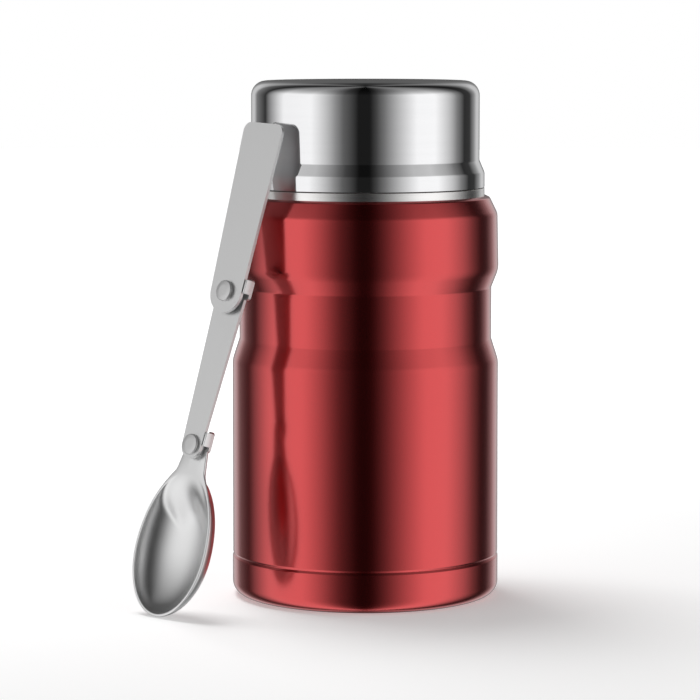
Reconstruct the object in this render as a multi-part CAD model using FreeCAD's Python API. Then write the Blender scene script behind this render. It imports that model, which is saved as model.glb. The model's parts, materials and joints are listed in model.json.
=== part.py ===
import FreeCAD, Part
import math
import os

from FreeCAD import Matrix, Vector

# Insulated food jar, in millimetres. The jar's axis is Z and it stands on the plane Z = 0.
# A vacuum-walled steel body takes a screw stopper, a double-walled cup screws on round the
# stopper, and a three-piece folding steel spoon leans against the left of the jar.

# Clearances
BODY_GAP = 0.3
RUNNING_FIT = 0.05

# The jar as a whole: its overall height with the lid on, and the radius of its body
OVERALL_HEIGHT = 187.5
BODY_RADIUS = 48.45
LID_RISE = 41.5
RIM_DROP = 25.7

# Heights of the outer shell, down from its shoulder
SHOULDER_TOP = OVERALL_HEIGHT - LID_RISE
BULGE_TOP = SHOULDER_TOP - 6.4
BULGE_BOTTOM = SHOULDER_TOP - 26.7
WAIST_TOP = SHOULDER_TOP - 33.2
WAIST_BOTTOM = SHOULDER_TOP - 51.9
LOWER_BODY_TOP = SHOULDER_TOP - 59.8
SEAM_HEIGHT = 15.0

# Outer shell of the jar
WAIST_DEPTH = 2.55
WAIST_RADIUS = BODY_RADIUS - WAIST_DEPTH
SHOULDER_RADIUS = BODY_RADIUS - 0.4
SHOULDER_EDGE_RADIUS = BODY_RADIUS - 3.15
SHELL_WALL = 0.6
SEAM_DEPTH = 0.4
SEAM_HALF_WIDTH = 0.8
SEAM_BEND = 0.5
SHOULDER_SLOPE = 0.7
WAIST_BEND = 1.6
BODY_BEND = 9.0
SHOULDER_BEND = 4.5
SHOULDER_EDGE_BEND = 1.0
SHELL_LIP_BEND = 0.8

# Bottom cup, its base disc and the parts sealed in the vacuum space
BASE_RADIUS = BODY_RADIUS + 0.15
BASE_WALL = 0.8
BASE_CORNER = 5.0
FOOT_WIDTH = 8.0
FOOT_BEND = 1.0
BASE_RECESS_RADIUS = BASE_RADIUS - 14.6
BASE_RECESS_DEPTH = 2.2
BASE_DISC_GAP = 3.0
BASE_DISC_RADIUS = BASE_RECESS_RADIUS - BASE_DISC_GAP
BASE_DISC_THICKNESS = 0.8
BASE_DISC_BEND = 0.4
SEAL_HOLE_RADIUS = 1.5
SEAL_HEAD_RADIUS = 3.0
SEAL_HEAD_HEIGHT = 0.8
SEAL_HEAD_BEND = 0.4
GETTER_RADIUS = 5.0
GETTER_HEIGHT = 2.2
GETTER_OFFSET = 18.0

# Bare neck ring and neck
RING_INSET = 5.15
RING_RADIUS = BODY_RADIUS - RING_INSET
RING_HEIGHT = 2.6
NECK_INSET = 6.9
NECK_RADIUS = RING_RADIUS - NECK_INSET
NECK_WALL = 0.7
RIM_HEIGHT = OVERALL_HEIGHT - RIM_DROP
RIM_BEAD_HEIGHT = 0.8
RIM_BEAD_ROUND = 0.45
RING_EDGE = 0.8
NECK_FOOT_BEND = 0.6

# Food vessel inside the jar
VACUUM_GAP = 4.95
LINER_RADIUS = BODY_RADIUS - VACUUM_GAP
LINER_WALL = 0.5
LINER_FLOOR = 10.5
LINER_CORNER = 9.0
LINER_WALL_TOP = SHOULDER_TOP - 18.5
LINER_NECK_START = SHOULDER_TOP - 6.5
LINER_SHOULDER_BEND = 6.0
RIM_WIDTH = 1.4
MOUTH_RADIUS = NECK_RADIUS - RIM_WIDTH
FOIL_THICKNESS = 0.2
FOIL_BOTTOM = 22.0
FOIL_TOP = LINER_WALL_TOP - 7.5

# Screw threads: the rise over one turn, and the room that the ridges take on each side
THREAD_PITCH = 3.6
THREAD_TURNS = 1.25
THREAD_ROOM = 0.9
THREAD_RISE = THREAD_PITCH * THREAD_TURNS

# Stopper
STOPPER_SKIRT_WALL = 1.5
STOPPER_SKIRT_GAP = 1.6
STOPPER_DECK = 2.2
STOPPER_RIM_HEIGHT = 3.7
STOPPER_RIM_WALL = 2.0
PLUG_GAP = 0.6
PLUG_WALL = 1.8
PLUG_DEPTH = 13.2
COVER_LEDGE = 1.0
COVER_THICKNESS = 1.8
COVER_DISH_RADIUS = MOUTH_RADIUS - 10.0
COVER_DISH_SLOPE = 5.0
COVER_DISH_BEND = 4.0
COVER_RIM_BEND = 2.5
COVER_DISH_DEPTH = 2.9
GASKET_WIDTH = 1.0
GASKET_HEIGHT = 2.4
GASKET_ROUND = 0.4
PLUG_BASE_THICKNESS = 2.0
PLUG_BASE_FLANGE = 2.4
PLUG_BASE_BEND = 1.0
PLUG_FLOOR_BEND = 0.5
MOULD_EDGE = 0.4
STOPPER_RIM_BEND = 0.8
RIM_FOOT_BEND = 0.6
PLUG_SPIGOT_HEIGHT = 2.0
PLUG_SPIGOT_WALL = 1.2
GRIP_COUNT = 24
GRIP_RADIUS = 1.7
GRIP_DEPTH = 0.8

# Cup
CUP_INSET = 1.9
CUP_RADIUS = RING_RADIUS - CUP_INSET
CUP_WALL = 0.6
CUP_EDGE_BEND = 5.3
CUP_SKIRT_RADIUS = RING_RADIUS
CUP_SKIRT_GAP = 0.6
CUP_SKIRT_TOP = OVERALL_HEIGHT - 33.1
CUP_FLARE_TOP = OVERALL_HEIGHT - 28.6
CUP_SKIRT_BEND = 2.5
CUP_FLARE_BEND = 1.8
CUP_LINER_WALL = 0.5
CUP_AIR_GAP = 1.1
CUP_ROOF_GAP = 2.0
CUP_LINER_CORNER = 9.5
CUP_LINER_FOOT_BEND = 0.5
CUP_LIP_HEIGHT = OVERALL_HEIGHT - 26.9
CUP_FOIL_WIDTH = 0.3
CUP_FOIL_HEIGHT = 14.0
THREAD_RING_INSET = 0.4
THREAD_RING_BEND = 0.3
SEAL_RING_INSET = 2.7
SEAL_RING_RADIUS = CUP_SKIRT_RADIUS - SEAL_RING_INSET
SEAL_RING_WIDTH = 1.3
SEAL_RING_HEIGHT = 1.8
SEAL_RING_GAP = 0.4
SEAL_RING_BEND = 0.3

# Spoon: three steel strips, two rivets and two washers, laid out flat about the lower pivot.
# The handle rests a little short of straight, by HANDLE_REST.
STRIP = 1.2
SPOON_WASHER = 1.5
WASHER_RADIUS = 4.2
LINK_LENGTH = 55.4
LINK_LOWER_RADIUS = 4.9
LINK_UPPER_RADIUS = 7.3
HANDLE_LENGTH = 61.1
HANDLE_REST = math.radians(2.6)
HANDLE_PIVOT_RADIUS = 7.8
HANDLE_TOP_WIDTH = 19.6
HANDLE_CORNER = 3.2
NECK_END_RADIUS = 5.3
NECK_ROOT_RADIUS = 8.6
NECK_LENGTH = 17.0
BOWL_TIP = 61.9
BOWL_LENGTH = 53.0
BOWL_WIDTH = 36.0
BOWL_DEPTH = 11.0
BOWL_WALL = 1.1
BOWL_WIDEST = 24.0
RIVET_RADIUS = 2.0
RIVET_HEAD_RADIUS = 3.7
RIVET_HEAD_HEIGHT = 1.5
RIVET_LOW_HEAD_HEIGHT = 1.25
RIVET_BACK_RADIUS = 3.4
RIVET_BACK_HEIGHT = 1.1
RIVET_HEAD_BEND = 0.7
RIVET_BACK_BEND = 0.5
STOP_GAP = 0.5
STOP_WALL = 0.9
STOP_LOW = 0.5
STOP_HIGH = 6.0
STOP_DROP = 0.3
STOP_OVERLAP = 0.1
STOP_CORNER = 1.2

# Where the spoon leans: its lower pivot in plan, and how its front face is turned
SPOON_STANDOFF = 23.69
SPOON_SIDE = math.radians(35.61)
SPOON_REACH = BODY_RADIUS + SPOON_STANDOFF
SPOON_X = -SPOON_REACH * math.cos(SPOON_SIDE)
SPOON_Y = -SPOON_REACH * math.sin(SPOON_SIDE)
SPOON_AZIMUTH = math.radians(44.0)
SPOON_LEAN = math.radians(15.8)
SPOON_ROLL = math.radians(5.1)
FLOOR_GAP = 0.15

# Heights and radii that follow from the sizes above
RING_TOP = SHOULDER_TOP + RING_HEIGHT
BEAD_BOTTOM = RIM_HEIGHT - RIM_BEAD_HEIGHT
DECK_BOTTOM = RIM_HEIGHT + BODY_GAP
DECK_TOP = DECK_BOTTOM + STOPPER_DECK
SKIRT_INNER = NECK_RADIUS + THREAD_ROOM
STOPPER_RADIUS = SKIRT_INNER + STOPPER_SKIRT_WALL
PLUG_RADIUS = MOUTH_RADIUS - PLUG_GAP
PLUG_BORE = PLUG_RADIUS - PLUG_WALL
PLUG_BOTTOM = RIM_HEIGHT - PLUG_DEPTH
COVER_SEAT = DECK_TOP - COVER_THICKNESS
CUP_BOTTOM = RING_TOP + CUP_SKIRT_GAP
CUP_BORE = CUP_RADIUS - CUP_WALL
THREAD_RING_INNER = STOPPER_RADIUS + THREAD_ROOM
CUP_LINER_OUTER = CUP_BORE - CUP_AIR_GAP
LIP_TOP = CUP_LIP_HEIGHT + CUP_LINER_WALL

# Heights of the spoon's layers, measured from the back of its neck strip
LINK_BACK = STRIP + RUNNING_FIT + SPOON_WASHER
LINK_FRONT = LINK_BACK + STRIP
HANDLE_BACK = LINK_FRONT + SPOON_WASHER + RUNNING_FIT
HANDLE_FRONT = HANDLE_BACK + STRIP


def left_of(start, end):
    """Unit vector to the left of the way from start to end."""
    run = end[0] - start[0]
    rise = end[1] - start[1]
    length = math.hypot(run, rise)
    return -rise / length, run / length


def offset_path(path, wall):
    """Shift an open path of (r, z, bend) corners to its left by the wall."""
    moved = []
    for index, (r, z, bend) in enumerate(path):
        normals = []
        if index > 0:
            normals.append(left_of(path[index - 1], path[index]))
        if index < len(path) - 1:
            normals.append(left_of(path[index], path[index + 1]))
        first = normals[0]
        last = normals[-1]
        scale = wall / (1.0 + first[0] * last[0] + first[1] * last[1])
        if len(normals) == 1:
            scale = wall / 2.0
        turn = first[0] * last[1] - first[1] * last[0]
        if bend > 0:
            bend = max(bend - math.copysign(wall, turn), 0.05)
        moved.append((r + (first[0] + last[0]) * scale, z + (first[1] + last[1]) * scale, bend))
    return moved


def outline(corners):
    """Closed wire in the XZ plane through (r, z, bend) corners, each rounded by its bend."""
    count = len(corners)
    spans = []
    for index, (r, z, bend) in enumerate(corners):
        here = Vector(r, 0, z)
        before = Vector(corners[index - 1][0], 0, corners[index - 1][1])
        after = Vector(corners[(index + 1) % count][0], 0, corners[(index + 1) % count][1])
        back = (before - here).normalize()
        ahead = (after - here).normalize()
        if bend <= 0:
            spans.append((here, None, here))
            continue
        half = back.getAngle(ahead) / 2.0
        reach = bend / math.tan(half)
        middle = (back + ahead).normalize()
        centre = here + middle * (bend / math.sin(half))
        spans.append((here + back * reach, centre - middle * bend, here + ahead * reach))
    edges = []
    for index, (start, middle, end) in enumerate(spans):
        if middle is not None:
            edges.append(Part.Arc(start, middle, end).toShape())
        onward = spans[(index + 1) % count][0]
        if end.distanceToPoint(onward) > 1e-6:
            edges.append(Part.LineSegment(end, onward).toShape())
    return Part.Wire(edges)


def turned(corners):
    """Solid turned about Z from a closed outline."""
    return Part.Face(outline(corners)).revolve(Vector(0, 0, 0), Vector(0, 0, 1), 360)


def turned_shell(path, wall):
    """Turned sheet whose outer face follows the path, with its wall to the path's left."""
    inner = offset_path(path, wall)
    return turned(path + inner[::-1])


def tube(inner, outer, bottom, top):
    """Plain tube about Z."""
    return turned([(inner, bottom, 0), (outer, bottom, 0), (outer, top, 0), (inner, top, 0)])


def hull_plate(circles, bottom, thickness):
    """Plate whose edge wraps a counter-clockwise run of (x, y, radius) circles."""
    count = len(circles)
    normals = []
    for index in range(count):
        x1, y1, r1 = circles[index]
        x2, y2, r2 = circles[(index + 1) % count]
        length = math.hypot(x2 - x1, y2 - y1)
        ux = (x2 - x1) / length
        uy = (y2 - y1) / length
        sine = (r1 - r2) / length
        cosine = math.sqrt(1.0 - sine * sine)
        normals.append((ux * sine + uy * cosine, uy * sine - ux * cosine))
    edges = []
    for index, (x, y, radius) in enumerate(circles):
        start = math.atan2(normals[index - 1][1], normals[index - 1][0])
        stop = math.atan2(normals[index][1], normals[index][0])
        sweep = (stop - start) % (2.0 * math.pi)
        points = [
            Vector(x + radius * math.cos(angle), y + radius * math.sin(angle), bottom)
            for angle in (start, start + sweep / 2.0, start + sweep)
        ]
        edges.append(Part.Arc(*points).toShape())
        nx, ny, next_radius = circles[(index + 1) % count]
        mx, my = normals[index]
        onward = Vector(nx + next_radius * mx, ny + next_radius * my, bottom)
        edges.append(Part.LineSegment(points[2], onward).toShape())
    return Part.Face(Part.Wire(edges)).extrude(Vector(0, 0, thickness))


def drill(y, radius):
    """Cutter for a pivot hole at height y of the flat spoon."""
    reach = 20.0
    return Part.makeCylinder(radius, 2 * reach, Vector(0, y, -reach))


# Jar body
def make_outer_shell():
    path = [
        (BODY_RADIUS - SEAM_DEPTH, SEAM_HEIGHT, 0),
        (BODY_RADIUS, SEAM_HEIGHT + SEAM_HALF_WIDTH, SEAM_BEND),
        (BODY_RADIUS, LOWER_BODY_TOP, BODY_BEND),
        (WAIST_RADIUS, WAIST_BOTTOM, WAIST_BEND),
        (WAIST_RADIUS, WAIST_TOP, WAIST_BEND),
        (BODY_RADIUS, BULGE_BOTTOM, BODY_BEND),
        (SHOULDER_RADIUS, BULGE_TOP, SHOULDER_BEND),
        (SHOULDER_EDGE_RADIUS, SHOULDER_TOP - SHOULDER_SLOPE, SHOULDER_EDGE_BEND),
        (RING_RADIUS + SHELL_WALL, SHOULDER_TOP, SHELL_LIP_BEND),
        (RING_RADIUS - NECK_WALL, SHOULDER_TOP, 0),
    ]
    return turned_shell(path, SHELL_WALL)


def make_bottom_cup():
    path = [
        (0, BASE_RECESS_DEPTH, 0),
        (BASE_RECESS_RADIUS, BASE_RECESS_DEPTH, FOOT_BEND),
        (BASE_RADIUS - BASE_CORNER - FOOT_WIDTH, 0, FOOT_BEND),
        (BASE_RADIUS, 0, BASE_CORNER),
        (BASE_RADIUS, SEAM_HEIGHT - SEAM_HALF_WIDTH, SEAM_BEND),
        (BODY_RADIUS - SEAM_DEPTH, SEAM_HEIGHT, 0),
    ]
    hole = Part.makeCylinder(SEAL_HOLE_RADIUS, 2 * BASE_RECESS_DEPTH, Vector(0, 0, BASE_RECESS_DEPTH / 2))
    return turned_shell(path, BASE_WALL).cut(hole)


def make_base_disc():
    bottom = BASE_RECESS_DEPTH - BASE_DISC_THICKNESS
    return turned([
        (0, bottom, 0),
        (BASE_DISC_RADIUS, bottom, BASE_DISC_BEND),
        (BASE_DISC_RADIUS, BASE_RECESS_DEPTH, 0),
        (0, BASE_RECESS_DEPTH, 0),
    ])


def make_vacuum_seal():
    top = BASE_RECESS_DEPTH + BASE_WALL
    return turned([
        (0, BASE_RECESS_DEPTH, 0),
        (SEAL_HOLE_RADIUS, BASE_RECESS_DEPTH, 0),
        (SEAL_HOLE_RADIUS, top, 0),
        (SEAL_HEAD_RADIUS, top, 0),
        (SEAL_HEAD_RADIUS, top + SEAL_HEAD_HEIGHT, SEAL_HEAD_BEND),
        (0, top + SEAL_HEAD_HEIGHT, 0),
    ])


def make_getter():
    floor = BASE_RECESS_DEPTH + BASE_WALL
    return Part.makeCylinder(GETTER_RADIUS, GETTER_HEIGHT, Vector(GETTER_OFFSET, 0, floor))


def make_neck_collar():
    path = [
        (RING_RADIUS, SHOULDER_TOP, 0),
        (RING_RADIUS, RING_TOP, RING_EDGE),
        (NECK_RADIUS, RING_TOP, NECK_FOOT_BEND),
        (NECK_RADIUS, BEAD_BOTTOM, 0),
    ]
    return turned_shell(path, NECK_WALL)


def make_inner_liner():
    neck = MOUTH_RADIUS + LINER_WALL
    path = [
        (0, LINER_FLOOR, 0),
        (LINER_RADIUS, LINER_FLOOR, LINER_CORNER),
        (LINER_RADIUS, LINER_WALL_TOP, LINER_SHOULDER_BEND),
        (neck, LINER_NECK_START, LINER_SHOULDER_BEND),
        (neck, BEAD_BOTTOM, 0),
    ]
    round_edge = RIM_BEAD_HEIGHT * RIM_BEAD_ROUND
    bead = turned([
        (MOUTH_RADIUS, BEAD_BOTTOM, 0),
        (NECK_RADIUS, BEAD_BOTTOM, 0),
        (NECK_RADIUS, RIM_HEIGHT, round_edge),
        (MOUTH_RADIUS, RIM_HEIGHT, round_edge),
    ])
    return turned_shell(path, LINER_WALL).fuse(bead).removeSplitter()


def make_liner_foil():
    return tube(LINER_RADIUS, LINER_RADIUS + FOIL_THICKNESS, FOIL_BOTTOM, FOIL_TOP)


# Stopper
def make_stopper_shell():
    gasket_seat = PLUG_RADIUS - GASKET_WIDTH
    gasket_top = PLUG_BOTTOM + GASKET_HEIGHT + 2 * BODY_GAP
    rim_top = DECK_TOP + STOPPER_RIM_HEIGHT
    rim_inner = STOPPER_RADIUS - STOPPER_RIM_WALL
    ledge = PLUG_BORE + COVER_LEDGE
    skirt_bottom = RING_TOP + STOPPER_SKIRT_GAP
    body = turned([
        (STOPPER_RADIUS, skirt_bottom, MOULD_EDGE),
        (STOPPER_RADIUS, rim_top, STOPPER_RIM_BEND),
        (rim_inner, rim_top, STOPPER_RIM_BEND),
        (rim_inner, DECK_TOP, RIM_FOOT_BEND),
        (ledge, DECK_TOP, 0),
        (ledge, COVER_SEAT, 0),
        (PLUG_BORE, COVER_SEAT, 0),
        (PLUG_BORE, PLUG_BOTTOM, 0),
        (gasket_seat, PLUG_BOTTOM, 0),
        (gasket_seat, gasket_top, 0),
        (PLUG_RADIUS, gasket_top, 0),
        (PLUG_RADIUS, DECK_BOTTOM, MOULD_EDGE),
        (SKIRT_INNER, DECK_BOTTOM, MOULD_EDGE),
        (SKIRT_INNER, skirt_bottom, MOULD_EDGE),
    ])
    centre = STOPPER_RADIUS + GRIP_RADIUS - GRIP_DEPTH
    grips = []
    for index in range(GRIP_COUNT):
        angle = 2.0 * math.pi * index / GRIP_COUNT
        foot = Vector(centre * math.cos(angle), centre * math.sin(angle), DECK_TOP)
        grips.append(Part.makeCylinder(GRIP_RADIUS, 2 * STOPPER_RIM_HEIGHT, foot))
    return body.cut(Part.makeCompound(grips))


def make_stopper_top_cover():
    path = [
        (0, COVER_SEAT - COVER_DISH_DEPTH, 0),
        (COVER_DISH_RADIUS - COVER_DISH_SLOPE, COVER_SEAT - COVER_DISH_DEPTH, COVER_DISH_BEND),
        (COVER_DISH_RADIUS, COVER_SEAT, COVER_RIM_BEND),
        (PLUG_BORE + COVER_LEDGE - RUNNING_FIT, COVER_SEAT, 0),
    ]
    return turned_shell(path, COVER_THICKNESS)


def make_stopper_base():
    bottom = PLUG_BOTTOM - PLUG_BASE_FLANGE
    spigot = PLUG_BORE - RUNNING_FIT
    floor = bottom + PLUG_BASE_THICKNESS
    return turned([
        (0, bottom, 0),
        (PLUG_RADIUS, bottom, PLUG_BASE_BEND),
        (PLUG_RADIUS, PLUG_BOTTOM, 0),
        (spigot, PLUG_BOTTOM, 0),
        (spigot, PLUG_BOTTOM + PLUG_SPIGOT_HEIGHT, 0),
        (spigot - PLUG_SPIGOT_WALL, PLUG_BOTTOM + PLUG_SPIGOT_HEIGHT, 0),
        (spigot - PLUG_SPIGOT_WALL, floor, PLUG_FLOOR_BEND),
        (0, floor, 0),
    ])


def make_stopper_foam():
    floor = PLUG_BOTTOM - PLUG_BASE_FLANGE + PLUG_BASE_THICKNESS
    bottom = floor + THREAD_RISE + BODY_GAP
    top = COVER_SEAT - COVER_DISH_DEPTH - BODY_GAP
    radius = PLUG_BORE - RUNNING_FIT - PLUG_SPIGOT_WALL - BODY_GAP
    return Part.makeCylinder(radius, top - bottom, Vector(0, 0, bottom))


def make_stopper_gasket():
    bottom = PLUG_BOTTOM + BODY_GAP
    inner = PLUG_RADIUS - GASKET_WIDTH + BODY_GAP
    outer = MOUTH_RADIUS - BODY_GAP
    round_edge = (outer - inner) * GASKET_ROUND
    return turned([
        (inner, bottom, 0),
        (outer, bottom, round_edge),
        (outer, bottom + GASKET_HEIGHT, round_edge),
        (inner, bottom + GASKET_HEIGHT, 0),
    ])


# Cup
def cup_path():
    return [
        (CUP_SKIRT_RADIUS, CUP_BOTTOM, 0),
        (CUP_SKIRT_RADIUS, CUP_SKIRT_TOP, CUP_SKIRT_BEND),
        (CUP_RADIUS, CUP_FLARE_TOP, CUP_FLARE_BEND),
        (CUP_RADIUS, OVERALL_HEIGHT, CUP_EDGE_BEND),
        (0, OVERALL_HEIGHT, 0),
    ]


def make_cup_shell():
    return turned_shell(cup_path(), CUP_WALL)


def make_cup_liner():
    roof = OVERALL_HEIGHT - CUP_WALL - CUP_ROOF_GAP
    path = [
        (CUP_BORE, LIP_TOP, 0),
        (CUP_LINER_OUTER, LIP_TOP, CUP_LINER_FOOT_BEND),
        (CUP_LINER_OUTER, roof, CUP_LINER_CORNER),
        (0, roof, 0),
    ]
    return turned_shell(path, CUP_LINER_WALL)


def make_cup_thread_ring():
    bottom = CUP_BOTTOM + THREAD_RING_INSET
    inside = offset_path(cup_path(), CUP_WALL)
    groove_inner = SEAL_RING_RADIUS - BODY_GAP
    groove_outer = SEAL_RING_RADIUS + SEAL_RING_WIDTH + BODY_GAP
    groove_top = RING_TOP + SEAL_RING_GAP + SEAL_RING_HEIGHT + BODY_GAP
    return turned([
        (THREAD_RING_INNER, bottom, THREAD_RING_BEND),
        (groove_inner, bottom, 0),
        (groove_inner, groove_top, 0),
        (groove_outer, groove_top, 0),
        (groove_outer, bottom, 0),
        (inside[0][0], bottom, 0),
        inside[1],
        inside[2],
        (CUP_BORE, CUP_LIP_HEIGHT, 0),
        (THREAD_RING_INNER, CUP_LIP_HEIGHT, 0),
    ])


def make_cup_seal_ring():
    bottom = RING_TOP + SEAL_RING_GAP
    outer = SEAL_RING_RADIUS + SEAL_RING_WIDTH
    return turned([
        (SEAL_RING_RADIUS, bottom, SEAL_RING_BEND),
        (outer, bottom, SEAL_RING_BEND),
        (outer, bottom + SEAL_RING_HEIGHT, 0),
        (SEAL_RING_RADIUS, bottom + SEAL_RING_HEIGHT, 0),
    ])


def make_cup_foil():
    middle = (CUP_LINER_OUTER + CUP_BORE) / 2.0
    bottom = LIP_TOP + THREAD_RISE + BODY_GAP
    half = CUP_FOIL_WIDTH / 2.0
    return tube(middle - half, middle + half, bottom, bottom + CUP_FOIL_HEIGHT)


# Spoon, flat: x to the right, y up the handle, z towards the front
def half_ellipsoid(across, along, deep):
    """Half of an ellipsoid on the side where y has the sign of along."""
    ball = Part.makeSphere(1.0)
    keep = Part.makeBox(2.0, 1.0, 2.0, Vector(-1, 0 if along > 0 else -1, -1))
    stretch = Matrix()
    stretch.scale(across, abs(along), deep)
    return ball.common(keep).transformGeometry(stretch)


def bowl_form(inset):
    """Egg-shaped solid of the bowl, drawn in by the inset all round."""
    across = BOWL_WIDTH / 2.0 - inset
    deep = BOWL_DEPTH - inset
    low = half_ellipsoid(across, -(BOWL_WIDEST - inset), deep)
    high = half_ellipsoid(across, BOWL_LENGTH - BOWL_WIDEST - inset, deep)
    form = low.fuse(high)
    form.translate(Vector(0, BOWL_WIDEST - BOWL_TIP, STRIP))
    return form


def stop_ear(edge, y, bottom, reach_back, height):
    """Ear beside a pivot with a lug bent up from it, clear of a strip end of radius edge."""
    inner = edge + STOP_GAP
    outer = inner + STOP_WALL
    ear = hull_plate([
        (outer - STOP_CORNER, y - STOP_DROP, STOP_CORNER),
        (outer - STOP_CORNER, y + STOP_HIGH - STOP_CORNER, STOP_CORNER),
        (outer - reach_back, y + STOP_CORNER, STOP_CORNER),
    ], bottom, STRIP)
    lug = Part.makeBox(
        STOP_WALL, STOP_HIGH - STOP_LOW - STOP_CORNER / 2, height, Vector(inner, y + STOP_LOW, bottom)
    )
    return ear.fuse(lug)


def make_spoon_bowl():
    egg = bowl_form(0)
    upper_side = Part.makeBox(
        2 * BOWL_WIDTH, 2 * BOWL_LENGTH, 2 * BOWL_DEPTH, Vector(-BOWL_WIDTH, -2 * BOWL_LENGTH, STRIP)
    )
    neck = hull_plate([(0, -NECK_LENGTH, NECK_ROOT_RADIUS), (0, 0, NECK_END_RADIUS)], 0, STRIP)
    lug_height = LINK_FRONT + STOP_OVERLAP
    ear = stop_ear(LINK_LOWER_RADIUS, 0, 0, NECK_END_RADIUS, lug_height)
    body = egg.cut(upper_side).fuse(neck).fuse(ear)
    return body.cut(bowl_form(BOWL_WALL)).cut(drill(0, RIVET_RADIUS + RUNNING_FIT)).removeSplitter()


def make_spoon_link():
    plate = hull_plate([(0, 0, LINK_LOWER_RADIUS), (0, LINK_LENGTH, LINK_UPPER_RADIUS)], LINK_BACK, STRIP)
    lug_height = HANDLE_FRONT + STOP_OVERLAP - LINK_BACK
    ear = stop_ear(HANDLE_PIVOT_RADIUS, LINK_LENGTH, LINK_BACK, LINK_UPPER_RADIUS, lug_height)
    body = plate.fuse(ear)
    holes = drill(0, RIVET_RADIUS).fuse(drill(LINK_LENGTH, RIVET_RADIUS))
    return body.cut(holes).removeSplitter()


def make_spoon_handle():
    corner_x = HANDLE_TOP_WIDTH / 2.0 - HANDLE_CORNER
    corner_y = LINK_LENGTH + HANDLE_LENGTH - HANDLE_CORNER
    plate = hull_plate([
        (0, LINK_LENGTH, HANDLE_PIVOT_RADIUS),
        (corner_x, corner_y, HANDLE_CORNER),
        (-corner_x, corner_y, HANDLE_CORNER),
    ], HANDLE_BACK, STRIP)
    handle = plate.cut(drill(LINK_LENGTH, RIVET_RADIUS + RUNNING_FIT))
    handle.rotate(Vector(0, LINK_LENGTH, 0), Vector(0, 0, 1), math.degrees(HANDLE_REST))
    return handle


def make_washer(y, bottom):
    ring = Part.makeCylinder(WASHER_RADIUS, SPOON_WASHER, Vector(0, y, bottom))
    return ring.cut(drill(y, RIVET_RADIUS))


def make_rivet(y, back, front, head_height):
    """Rivet from the back head's seat to the front head's seat."""
    rivet = turned([
        (0, back - RIVET_BACK_HEIGHT, 0),
        (RIVET_BACK_RADIUS, back - RIVET_BACK_HEIGHT, RIVET_BACK_BEND),
        (RIVET_BACK_RADIUS, back, 0),
        (RIVET_RADIUS, back, 0),
        (RIVET_RADIUS, front, 0),
        (RIVET_HEAD_RADIUS, front, 0),
        (RIVET_HEAD_RADIUS, front + head_height, RIVET_HEAD_BEND),
        (0, front + head_height, 0),
    ])
    rivet.translate(Vector(0, y, 0))
    return rivet


def spoon_axes():
    """Directions of the spoon's right, of its length and of its front face as it leans."""
    front = Vector(
        -math.sin(SPOON_AZIMUTH) * math.cos(SPOON_LEAN),
        -math.cos(SPOON_AZIMUTH) * math.cos(SPOON_LEAN),
        math.sin(SPOON_LEAN),
    )
    level = Vector(0, 0, 1).cross(front).normalize()
    rising = front.cross(level)
    right = level * math.cos(SPOON_ROLL) - rising * math.sin(SPOON_ROLL)
    along = level * math.sin(SPOON_ROLL) + rising * math.cos(SPOON_ROLL)
    return right, along, front


def spoon_placing(bowl):
    """Matrix that stands the flat spoon up, with its bowl just clear of the floor."""
    right, along, front = spoon_axes()
    matrix = Matrix(
        right.x, along.x, front.x, SPOON_X,
        right.y, along.y, front.y, SPOON_Y,
        right.z, along.z, front.z, 0,
    )
    lowest = bowl.transformed(matrix).optimalBoundingBox().ZMin
    matrix.A34 = FLOOR_GAP - lowest
    return matrix


def make_spoon():
    flat = {
        "spoon_bowl": make_spoon_bowl(),
        "spoon_link": make_spoon_link(),
        "spoon_handle": make_spoon_handle(),
        "washer_lower": make_washer(0, STRIP + RUNNING_FIT),
        "washer_upper": make_washer(LINK_LENGTH, LINK_FRONT),
        "rivet_lower": make_rivet(0, -RUNNING_FIT, LINK_FRONT, RIVET_LOW_HEAD_HEIGHT),
        "rivet_upper": make_rivet(LINK_LENGTH, LINK_BACK, HANDLE_FRONT + RUNNING_FIT, RIVET_HEAD_HEIGHT),
    }
    matrix = spoon_placing(flat["spoon_bowl"])
    return {name: shape.transformed(matrix) for name, shape in flat.items()}


def make_parts():
    parts = {
        "outer_shell": make_outer_shell(),
        "bottom_cup": make_bottom_cup(),
        "base_disc": make_base_disc(),
        "vacuum_seal": make_vacuum_seal(),
        "getter": make_getter(),
        "neck_collar": make_neck_collar(),
        "inner_liner": make_inner_liner(),
        "liner_foil": make_liner_foil(),
        "stopper_shell": make_stopper_shell(),
        "stopper_top_cover": make_stopper_top_cover(),
        "stopper_base": make_stopper_base(),
        "stopper_foam": make_stopper_foam(),
        "stopper_gasket": make_stopper_gasket(),
        "cup_shell": make_cup_shell(),
        "cup_liner": make_cup_liner(),
        "cup_thread_ring": make_cup_thread_ring(),
        "cup_seal_ring": make_cup_seal_ring(),
        "cup_foil": make_cup_foil(),
    }
    parts.update(make_spoon())
    return parts


PARTS = make_parts()
os.makedirs("parts", exist_ok=True)
for node, shape in PARTS.items():
    shape.exportStep(os.path.join("parts", node + ".step"))
    print(node, len(shape.Solids), round(shape.Volume, 2), shape.isValid())
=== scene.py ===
import json
import logging
import math
from dataclasses import dataclass, field
from enum import Enum
from typing import NamedTuple, Sequence

import bmesh
import bpy
from mathutils import Matrix, Vector


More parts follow.
